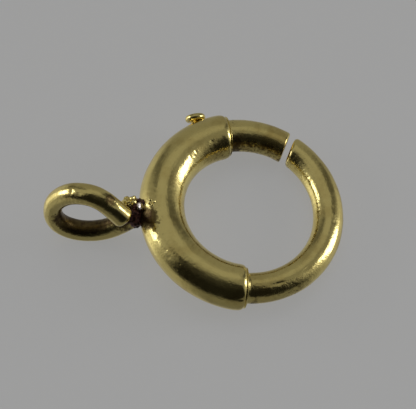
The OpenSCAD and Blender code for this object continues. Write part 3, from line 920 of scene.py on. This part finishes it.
def solder_lump():
    """The frozen solder: knobs run together by a remesh, roughened, with grains, facets and specks."""
    s = sizes()
    work = bmesh.new()
    for knob in KNOBS:
        ball = bmesh.ops.create_icosphere(work, subdivisions=4, radius=knob["radius"])
        bmesh.ops.translate(work, verts=ball["verts"], vec=(knob["along"], knob["across"], knob["up"]))
    mesh = bpy.data.meshes.new("solder_core")
    work.to_mesh(mesh)
    work.free()
    core = bpy.data.objects.new("solder_core", mesh)
    bpy.context.scene.collection.objects.link(core)
    fuse = core.modifiers.new("Fuse", "REMESH")
    fuse.mode = "VOXEL"
    fuse.voxel_size = 0.03
    melt = core.modifiers.new("Melt", "SMOOTH")
    melt.iterations = 12
    tree = grain_tree()
    scatter = core.modifiers.new("Grains", "NODES")
    scatter.node_group = tree
    wanted = {"Density": 60.0, "Smallest": 0.03, "Largest": 0.10, "Seed": 7}
    for item in tree.interface.items_tree:
        if item.in_out == "INPUT" and item.name in wanted:
            scatter[item.identifier] = wanted[item.name]
    graph = bpy.context.evaluated_depsgraph_get()
    made = bpy.data.meshes.new_from_object(core.evaluated_get(graph))
    bpy.data.objects.remove(core)
    work = bmesh.new()
    work.from_mesh(made)
    bpy.data.meshes.remove(made)
    core_middle = Vector((-0.25, 0.05, 0.2))
    for v in work.verts:
        rough = 0.06 * noise.noise(v.co / 0.30) + 0.03 * noise.noise(v.co / 0.15)
        v.co += (v.co - core_middle).normalized() * rough
    first = len(work.verts)
    bare_film = []
    for facet in FACETS:
        disc = bmesh.ops.create_icosphere(work, subdivisions=4, radius=facet["radius"])["verts"]
        bmesh.ops.scale(work, verts=disc, vec=(1, 1, facet["flat"]))
        turn = Vector(facet["facing"]).to_track_quat("Z", "Y").to_matrix()
        bmesh.ops.rotate(work, verts=disc, cent=(0, 0, 0), matrix=turn)
        bmesh.ops.translate(work, verts=disc, vec=facet["place"])
        bare_film += [BARE_SILVER if facet is FACETS[0] else BARE_GOLD] * len(disc)
    for speck in SPECKS:
        bead = bmesh.ops.create_icosphere(work, subdivisions=3, radius=speck["radius"])["verts"]
        bmesh.ops.translate(work, verts=bead, vec=speck["place"])
        bare_film += [BARE_GOLD] * len(bead)
    work.verts.index_update()
    points = np.array([v.co for v in work.verts])
    faces = [tuple(v.index for v in f.verts) for f in work.faces]
    work.free()

    # Each point takes the film of the knobs that it is closest to; facets and specks have their own
    spots = np.array([[k["along"], k["across"], k["up"]] for k in KNOBS])
    radii = np.array([k["radius"] for k in KNOBS])
    off = np.linalg.norm(points[:, None] - spots[None], axis=2) - radii
    melt_reach = 0.07
    weight = np.exp(-off / melt_reach)
    film = (weight * np.array([k["film"] for k in KNOBS])).sum(axis=1) / weight.sum(axis=1)
    film[first:] = bare_film
    side = np.array([-(s.ring_r + s.sleeve_r), 0, 0])
    return new_piece("solder", points * MM + side, faces, silver_solder("silver_solder"), None, film,
                     sharp=75)


def grain_tree():
    """Scatters small grains over a surface; its sizes are in millimetres, as the lump is drawn."""
    tree = bpy.data.node_groups.new("solder_grains", "GeometryNodeTree")
    for name, kind in (("Geometry", "Geometry"), ("Density", "Float"), ("Smallest", "Float"),
                       ("Largest", "Float"), ("Seed", "Int")):
        tree.interface.new_socket(name=name, in_out="INPUT", socket_type="NodeSocket" + kind)
    tree.interface.new_socket(name="Geometry", in_out="OUTPUT", socket_type="NodeSocketGeometry")
    given = add_node(tree, "NodeGroupInput").outputs
    split = add_node(tree, "ShaderNodeSeparateXYZ", {}, {
        0: add_node(tree, "GeometryNodeInputPosition").outputs["Position"]}).outputs
    towards_eye = add_node(tree, "ShaderNodeMapRange", {}, {
        "Value": split["X"], "From Min": 0.0, "From Max": -0.5, "To Min": 0.08}).outputs["Result"]
    on_top = add_node(tree, "ShaderNodeMapRange", {}, {
        "Value": split["Z"], "From Min": 0.2, "From Max": 0.6, "To Min": 0.1}).outputs["Result"]
    crowd = add_node(tree, "ShaderNodeMath", {"operation": "MULTIPLY"}, {
        0: towards_eye, 1: on_top}).outputs[0]
    density = add_node(tree, "ShaderNodeMath", {"operation": "MULTIPLY"}, {
        0: crowd, 1: given["Density"]}).outputs[0]
    spots = add_node(tree, "GeometryNodeDistributePointsOnFaces", {}, {
        "Mesh": given["Geometry"], "Density": density, "Seed": given["Seed"]})
    size = add_node(tree, "FunctionNodeRandomValue", {"data_type": "FLOAT"}, {
        "Min": given["Smallest"], "Max": given["Largest"], "Seed": given["Seed"]})
    grain = add_node(tree, "GeometryNodeMeshIcoSphere", {}, {"Radius": 1.0, "Subdivisions": 2})
    placed = add_node(tree, "GeometryNodeInstanceOnPoints", {}, {
        "Points": spots.outputs["Points"], "Instance": grain.outputs["Mesh"],
        "Scale": size.outputs["Value"]})
    loose = add_node(tree, "GeometryNodeRealizeInstances", {}, {"Geometry": placed.outputs["Instances"]})
    whole = add_node(tree, "GeometryNodeJoinGeometry", {}, {"Geometry": given["Geometry"]})
    tree.links.new(loose.outputs["Geometry"], whole.inputs["Geometry"])
    named = add_node(tree, "GeometryNodeSetMaterial", {}, {"Geometry": whole.outputs["Geometry"]})
    add_node(tree, "NodeGroupOutput", {}, {"Geometry": named.outputs["Geometry"]})
    return tree


class CLASP_OT_thumb_lug(bpy.types.Operator):
    """Make the headed pin that draws the tongue back"""
    bl_idname = "clasp.thumb_lug"
    bl_label = "Thumb lug"

    def execute(self, context):
        s = sizes()
        rim, chamfer, fillet = 0.5 * s.lug_head, 0.04 * MM, 0.1 * MM
        top = s.lug_seat + s.lug_head
        flare = np.linspace(0, pi / 2, 6)[1:]
        heights = [s.lug_foot, s.lug_foot, s.lug_foot + chamfer, s.lug_foot + 0.6 * MM,
                   *(s.lug_seat - fillet * (1 - np.sin(flare)))]
        radii = [0, s.lug_post_r - chamfer, s.lug_post_r, s.lug_post_r,
                 *(s.lug_post_r + fillet * (1 - np.cos(flare)))]
        for t in np.linspace(-pi / 2, pi / 2, 17):
            middle = s.lug_seat + rim if t < 0 else top - rim
            heights.append(middle + rim * sin(t))
            radii.append(s.lug_r - rim + rim * cos(t))
        heights = np.array(heights + [top, top])
        radii = np.array(radii + [0.5 * (s.lug_r - rim), 0])
        around = np.linspace(0, 2 * pi, 73)
        outward = np.array([cos(s.slot_start), sin(s.slot_start), 0])
        sideways = np.array([-sin(s.slot_start), cos(s.slot_start), 0])
        ring = sideways[None, :] * np.cos(around)[:, None] + UP[None, :] * np.sin(around)[:, None]
        points = outward[None, None, :] * heights[:, None, None] + ring[None] * radii[:, None, None]
        depth = wear(points, 0.012 * MM, 0.5 * MM, 0.006 * MM, 0.2 * MM)
        depth[:, -1] = depth[:, 0]
        depth *= (radii > s.lug_post_r + 0.05 * MM)[:, None]
        points = points + ring[None] * depth[:, :, None]

        # Use has bent the head up and towards the tongue's tip, about the top of the post
        share = ramp(heights, s.lug_foot + 1.1 * MM, s.lug_seat - 0.05 * MM)
        pivot = outward * (s.lug_seat - 0.15 * MM)
        points = turned(points, pivot, sideways, -s.lug_lift * share)
        points = turned(points, pivot, UP, s.lug_bend * share)
        along = np.stack(np.broadcast_arrays(heights[:, None] / MM, around[None] * s.lug_r / MM), axis=-1)
        # Painted shade under the head, round the top of the post
        painted_shade_under_head = 0.15 * (1 - ramp(heights, s.lug_seat - 0.1 * MM, s.lug_seat + 0.2 * MM))
        film = np.broadcast_to(painted_shade_under_head[:, None], points.shape[:-1])
        lug = new_piece("lug_pin", points, quads(len(heights), len(around)), gold_finish(), along, film)
        settle(lug, "tongue_slider", "thumb_lug")
        return {"FINISHED"}


def coil_tree():
    """A wire coiled round an arc, from named sizes; the arc lies flat round the origin."""
    tree = bpy.data.node_groups.new("arc_coil", "GeometryNodeTree")
    for name, kind in (("Turns", "Float"), ("Steps", "Int"), ("Ring radius", "Float"),
                       ("Coil radius", "Float"), ("Wire radius", "Float"), ("Start", "Float"),
                       ("End", "Float"), ("Material", "Material")):
        tree.interface.new_socket(name=name, in_out="INPUT", socket_type="NodeSocket" + kind)
    tree.interface.new_socket(name="Geometry", in_out="OUTPUT", socket_type="NodeSocketGeometry")
    given = add_node(tree, "NodeGroupInput").outputs
    line = add_node(tree, "GeometryNodeCurvePrimitiveLine")
    dense = add_node(tree, "GeometryNodeResampleCurve", {}, {
        "Curve": line.outputs["Curve"], "Count": given["Steps"]})

    # Each step of the sum: what it makes, the operation, and what it works on
    sums = (("Span", "SUBTRACT", "End", "Start"), ("At", "MULTIPLY_ADD", "Share", "Span", "Start"),
            ("Wound", "MULTIPLY", "Share", "Turns"), ("Wound", "MULTIPLY", "Wound", "Full turn"),
            ("Sideways", "COSINE", "Wound"), ("Rise", "SINE", "Wound"),
            ("Out", "MULTIPLY_ADD", "Sideways", "Coil radius", "Ring radius"),
            ("X", "COSINE", "At"), ("X", "MULTIPLY", "Out", "X"),
            ("Y", "SINE", "At"), ("Y", "MULTIPLY", "Out", "Y"),
            ("Z", "MULTIPLY", "Rise", "Coil radius"))
    values = {name: given[name] for name in ("Turns", "Ring radius", "Coil radius", "Start", "End")}
    values["Share"] = add_node(tree, "GeometryNodeSplineParameter").outputs["Factor"]
    values["Full turn"] = 2 * pi
    for made, operation, *parts in sums:
        values[made] = add_node(tree, "ShaderNodeMath", {"operation": operation}, {
            i: values[part] for i, part in enumerate(parts)}).outputs[0]
    place = add_node(tree, "ShaderNodeCombineXYZ", {}, {axis: values[axis] for axis in "XYZ"})
    coiled = add_node(tree, "GeometryNodeSetPosition", {}, {
        "Geometry": dense.outputs["Curve"], "Position": place.outputs["Vector"]})
    section = add_node(tree, "GeometryNodeCurvePrimitiveCircle", {}, {
        "Resolution": 10, "Radius": given["Wire radius"]})
    wound = add_node(tree, "GeometryNodeCurveToMesh", {}, {
        "Curve": coiled.outputs["Geometry"], "Profile Curve": section.outputs["Curve"],
        "Fill Caps": True})
    real = add_node(tree, "GeometryNodeRealizeInstances", {}, {"Geometry": wound.outputs["Mesh"]})
    named = add_node(tree, "GeometryNodeSetMaterial", {}, {
        "Geometry": real.outputs["Geometry"], "Material": given["Material"]})
    add_node(tree, "NodeGroupOutput", {}, {"Geometry": named.outputs["Geometry"]})
    return tree


class CLASP_OT_spring(bpy.types.Operator):
    """Make the coil spring between the tongue's tail and the arm's inner end"""
    bl_idname = "clasp.spring"
    bl_label = "Spring"

    def execute(self, context):
        s = sizes()
        margin = (s.bore_r - s.coil_r) / s.ring_r
        start, end = s.tongue_tail + margin, s.arm_inner - margin
        steel = spring_steel("spring_steel")
        tree = coil_tree()
        mesh = bpy.data.meshes.new("spring_seed")
        seed = bpy.data.objects.new("spring_seed", mesh)
        bpy.context.scene.collection.objects.link(seed)
        coil = seed.modifiers.new("Coil", "NODES")
        coil.node_group = tree
        steps = 28 * s.coil_turns + 1
        wanted = {"Turns": float(s.coil_turns), "Steps": steps, "Ring radius": s.ring_r,
                  "Coil radius": s.coil_r, "Wire radius": s.coil_wire_r, "Start": start, "End": end,
                  "Material": steel}
        for item in tree.interface.items_tree:
            if item.in_out == "INPUT":
                coil[item.identifier] = wanted[item.name]
        graph = bpy.context.evaluated_depsgraph_get()
        made = bpy.data.meshes.new_from_object(seed.evaluated_get(graph))
        bpy.data.objects.remove(seed)
        points = np.array([v.co for v in made.vertices])
        faces = [tuple(p.vertices) for p in made.polygons]
        bpy.data.meshes.remove(made)
        spring = new_piece("spring_coil", points, faces, steel)
        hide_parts("coil_spring")
        tuple(lie(on_ring(start, 0, 0)))
        tuple(lie(on_ring(end, 0, 0)))
        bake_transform(spring)
        return {"FINISHED"}


# Stage

# Parts of the tent that differ from its plain wall, as seen from the clasp: where they stand, how far they
# reach to each side and up and down, how soft their edge is, and their radiance
TENT_PARTS = [
    {"azimuth": 95, "elevation": 6, "wide": 74, "high": 39, "soft": 9, "radiance": 0.22},
    {"azimuth": 40, "elevation": 26, "wide": 10, "high": 26, "soft": 6, "radiance": 0.08},
    {"azimuth": 121, "elevation": 18, "wide": 9, "high": 30, "soft": 6, "radiance": 0.10},
    {"azimuth": 3, "elevation": 65, "wide": 33, "high": 24, "soft": 12, "radiance": 0.20},
    {"azimuth": 278, "elevation": -34, "wide": 57, "high": 43, "soft": 10, "radiance": 0.15},
    {"azimuth": 264, "elevation": 34, "wide": 66, "high": 41, "soft": 11, "radiance": 0.010},
    {"azimuth": 252, "elevation": 74, "wide": 70, "high": 20, "soft": 11, "radiance": 0.024},
    {"azimuth": 186, "elevation": 90, "wide": 200, "high": 8, "soft": 12, "radiance": 0.14},
    {"azimuth": 145, "elevation": -30, "wide": 30, "high": 34, "soft": 12, "radiance": 0.42},
    {"azimuth": 14, "elevation": -14, "wide": 21, "high": 24, "soft": 12, "radiance": 0.45},
    {"azimuth": 3, "elevation": 12, "wide": 14, "high": 18, "soft": 7, "radiance": 0.85},
    {"azimuth": 167, "elevation": -6, "wide": 15, "high": 33, "soft": 11, "radiance": 0.98},
]


def tent_world(level, backdrop):
    """White tent with the dark opening that the camera looks through; the camera sees plain grey."""
    world = bpy.data.worlds.new("light_tent")
    world.use_nodes = True
    tree = world.node_tree
    tree.nodes.clear()
    look = add_node(tree, "ShaderNodeTexCoord").outputs["Generated"]
    radiance = level
    for part in TENT_PARTS:
        spun = add_node(tree, "ShaderNodeVectorRotate", {"rotation_type": "Z_AXIS"}, {
            "Vector": look, "Angle": -radians(part["azimuth"])}).outputs["Vector"]
        split = add_node(tree, "ShaderNodeSeparateXYZ", {}, {"Vector": spun}).outputs
        sideways = add_node(tree, "ShaderNodeMath", {"operation": "ARCTAN2"}, {
            0: split["Y"], 1: split["X"]}).outputs[0]
        rise = add_node(tree, "ShaderNodeMath", {"operation": "ARCSINE"}, {0: split["Z"]}).outputs[0]
        lifted = add_node(tree, "ShaderNodeMath", {"operation": "SUBTRACT"}, {
            0: rise, 1: radians(part["elevation"])}).outputs[0]
        cover = 1.0
        for value, reach in ((sideways, part["wide"]), (lifted, part["high"])):
            size = add_node(tree, "ShaderNodeMath", {"operation": "ABSOLUTE"}, {0: value}).outputs[0]
            edge = add_node(tree, "ShaderNodeMapRange", {"interpolation_type": "SMOOTHSTEP"}, {
                "Value": size, "From Min": radians(reach + part["soft"]),
                "From Max": radians(reach - part["soft"])})
            cover = add_node(tree, "ShaderNodeMath", {"operation": "MULTIPLY"}, {
                0: cover, 1: edge.outputs["Result"]}).outputs[0]
        radiance = add_node(tree, "ShaderNodeMix", {"data_type": "FLOAT"}, {
            "Factor": cover, "A": radiance, "B": part["radiance"]}).outputs["Result"]
    seen = add_node(tree, "ShaderNodeLightPath").outputs["Is Camera Ray"]
    plain = add_node(tree, "ShaderNodeMix", {"data_type": "FLOAT"}, {
        "Factor": seen, "A": radiance, "B": backdrop}).outputs["Result"]
    glow = add_node(tree, "ShaderNodeBackground", {}, {"Color": (1, 1, 1, 1), "Strength": plain})
    add_node(tree, "ShaderNodeOutputWorld", {}, {"Surface": glow.outputs["Background"]})
    return world


# Soft lights: where they stand as seen from the clasp, their distance and size in millimetres, and the
# stage's setting for their radiance. The sheet over the table lights it and isn't mirrored in the metal.
LIGHTS = [
    {"name": "key_box", "azimuth": 3, "elevation": 16, "distance": 250, "wide": 80, "high": 152,
     "setting": "key", "mirrored": True},
    {"name": "fill_box", "azimuth": 167, "elevation": 15, "distance": 250, "wide": 108, "high": 112,
     "setting": "fill", "mirrored": True},
    {"name": "table_sheet", "azimuth": 90, "elevation": 89, "distance": 320, "wide": 300, "high": 300,
     "setting": "top", "mirrored": False},
]
# Their tubes are a little blue
LIGHT_COLOUR = (0.97, 1.0, 1.2)


def direction(azimuth, elevation):
    """From the clasp towards a point seen at these angles."""
    return Vector((cos(azimuth) * cos(elevation), sin(azimuth) * cos(elevation), sin(elevation)))


def soft_box(part, radiance):
    """A rectangular soft light that faces the clasp and isn't seen by the camera."""
    light = bpy.data.lights.new(part["name"], "AREA")
    light.shape = "RECTANGLE"
    light.size, light.size_y = part["wide"] * MM, part["high"] * MM
    light.color = LIGHT_COLOUR

    # The power at which a sheet of this size has that radiance
    light.energy = radiance * light.size * light.size_y * pi
    box = bpy.data.objects.new(part["name"], light)
    away = direction(radians(part["azimuth"]), radians(part["elevation"]))
    box.location = away * part["distance"] * MM
    box.rotation_euler = away.to_track_quat("Z", "Y").to_euler()
    box.visible_camera = False
    box.visible_glossy = part["mirrored"]
    bpy.context.scene.collection.objects.link(box)


class CLASP_OT_stage(bpy.types.Operator):
    """Make the table, the lights and the camera"""
    bl_idname = "clasp.stage"
    bl_label = "Stage"

    def execute(self, context):
        scene = context.scene
        stage = scene.clasp_stage
        reach = 500 * MM
        low = CAD_BOX[0][2] - SWELL
        mesh = bpy.data.meshes.new("table")
        corners = [(-reach, -reach, low), (reach, -reach, low), (reach, reach, low),
                   (-reach, reach, low)]
        mesh.from_pydata(corners, [], [(0, 1, 2, 3)])
        mesh.materials.append(opal_sheet("opal_acrylic"))
        table = bpy.data.objects.new("table", mesh)
        scene.collection.objects.link(table)
        table.visible_glossy = False

        scene.world = tent_world(stage.tent, stage.backdrop)
        for part in LIGHTS:
            soft_box(part, getattr(stage, part["setting"]))

        camera = bpy.data.cameras.new("camera")
        camera.lens = stage.lens
        camera.sensor_width = 36
        camera.sensor_fit = "HORIZONTAL"
        camera.clip_start = 5 * MM
        camera.clip_end = 5
        eye = bpy.data.objects.new("camera", camera)
        away = direction(stage.azimuth, stage.elevation)
        eye.location = Vector(stage.aim) + away * stage.distance
        aimed = away.to_track_quat("Z", "Y").to_matrix() @ Euler((0, 0, stage.roll)).to_matrix()
        eye.rotation_euler = aimed.to_euler()
        scene.collection.objects.link(eye)
        scene.camera = eye
        scene.view_settings.view_transform = "Standard"
        return {"FINISHED"}


class CLASP_PT_panel(bpy.types.Panel):
    """Sizes, finish and stage of the clasp"""
    bl_label = "Spring ring clasp"
    bl_space_type = "VIEW_3D"
    bl_region_type = "UI"
    bl_category = "Clasp"

    def draw(self, context):
        scene = context.scene
        for step in STEPS:
            self.layout.operator(step.bl_idname)
        for group in (scene.clasp_sizes, scene.clasp_finish, scene.clasp_stage):
            box = self.layout.box()
            for key in group.bl_rna.properties.keys():
                if key not in ("rna_type", "name"):
                    box.prop(group, key)


STEPS = (CLASP_OT_stage, CLASP_OT_sleeve, CLASP_OT_ring_wires, CLASP_OT_eye, CLASP_OT_thumb_lug,
         CLASP_OT_spring)
GROUPS = {"clasp_sizes": ClaspSizes, "clasp_finish": ClaspFinish, "clasp_stage": ClaspStage}


def register():
    for group in GROUPS.values():
        bpy.utils.register_class(group)
    for step in STEPS:
        bpy.utils.register_class(step)
    bpy.utils.register_class(CLASP_PT_panel)
    for name, group in GROUPS.items():
        setattr(bpy.types.Scene, name, PointerProperty(type=group))


def unregister():
    for name in GROUPS:
        delattr(bpy.types.Scene, name)
    bpy.utils.unregister_class(CLASP_PT_panel)
    for step in reversed(STEPS):
        bpy.utils.unregister_class(step)
    for group in GROUPS.values():
        bpy.utils.unregister_class(group)


def main():
    register()
    bpy.ops.clasp.stage()
    bpy.ops.clasp.sleeve()
    bpy.ops.clasp.ring_wires()
    bpy.ops.clasp.eye()
    bpy.ops.clasp.thumb_lug()
    bpy.ops.clasp.spring()


if __name__ == "__main__":
    main()
